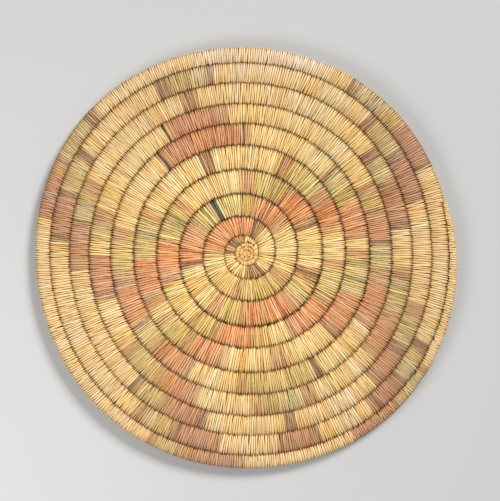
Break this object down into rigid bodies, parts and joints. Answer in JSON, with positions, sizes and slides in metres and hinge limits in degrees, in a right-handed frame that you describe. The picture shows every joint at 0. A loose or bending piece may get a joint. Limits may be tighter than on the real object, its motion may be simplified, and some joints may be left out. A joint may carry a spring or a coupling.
{
  "type": "coiled basketry plaque",
  "caption": "Round flat coiled basketry plaque of grass bundle stitched with plain and dyed leaf strips; decorates a wall or shelf, or serves as a tray or mat.",
  "frame": {"origin": "middle of the outline's box, on the surface that the plaque's back lies on", "axes": "+Z out of the face, +Y towards the top of the pattern, +X to the right as the face is seen"},
  "size_m": [0.3494, 0.3496, 0.014],
  "materials": {
    "straw_weft": "matte",
    "green_weft": "matte",
    "umber_weft": "matte",
    "red_weft": "matte",
    "black_weft": "matte",
    "grass_foundation": "matte"
  },
  "bodies": {
    "root": {"foundation_coil": "grass_foundation", "round_01_run_1_umber": "umber_weft", "round_01_run_2_straw": "straw_weft", "round_02_run_1_red": "red_weft", "round_02_run_2_straw": "straw_weft", "round_02_run_3_green": "green_weft", "round_03_run_1_green": "green_weft", "round_03_run_2_red": "red_weft", "round_03_run_3_straw": "straw_weft", "round_03_run_4_red": "red_weft", "round_03_run_5_straw": "straw_weft", "round_03_run_6_green": "green_weft", "round_04_run_1_straw": "straw_weft", "round_04_run_2_green": "green_weft", "round_04_run_3_straw": "straw_weft", "round_04_run_4_red": "red_weft", "round_05_run_1_straw": "straw_weft", "round_05_run_2_green": "green_weft", "round_05_run_3_straw": "straw_weft", "round_05_run_4_red": "red_weft", "round_05_run_5_straw": "straw_weft", "round_06_run_1_red": "red_weft", "round_06_run_2_straw": "straw_weft", "round_06_run_3_green": "green_weft", "round_06_run_4_straw": "straw_weft", "round_06_run_5_red": "red_weft", "round_07_run_1_straw": "straw_weft", "round_07_run_2_green": "green_weft", "round_07_run_3_straw": "straw_weft", "round_07_run_4_red": "red_weft", "round_07_run_5_straw": "straw_weft", "round_07_run_6_green": "green_weft", "round_07_run_7_straw": "straw_weft", "round_07_run_8_red": "red_weft", "round_08_run_1_straw": "straw_weft", "round_08_run_2_green": "green_weft", "round_08_run_3_straw": "straw_weft", "round_08_run_4_red": "red_weft", "round_08_run_5_straw": "straw_weft", "round_08_run_6_red": "red_weft", "round_08_run_7_straw": "straw_weft", "round_08_run_8_green": "green_weft", "round_09_run_1_straw": "straw_weft", "round_09_run_2_green": "green_weft", "round_09_run_3_straw": "straw_weft", "round_09_run_4_red": "red_weft", "round_09_run_5_straw": "straw_weft", "round_09_run_6_green": "green_weft", "round_09_run_7_straw": "straw_weft", "round_09_run_8_red": "red_weft", "round_10_run_1_straw": "straw_weft", "round_10_run_2_green": "green_weft", "round_10_run_3_straw": "straw_weft", "round_10_run_4_red": "red_weft", "round_10_run_5_straw": "straw_weft", "round_10_run_6_red": "red_weft", "round_10_run_7_straw": "straw_weft", "start_knot": "straw_weft", "start_ring_bundle": "grass_foundation", "start_ring_wefts": "straw_weft"}
  },
  "joints": []
}
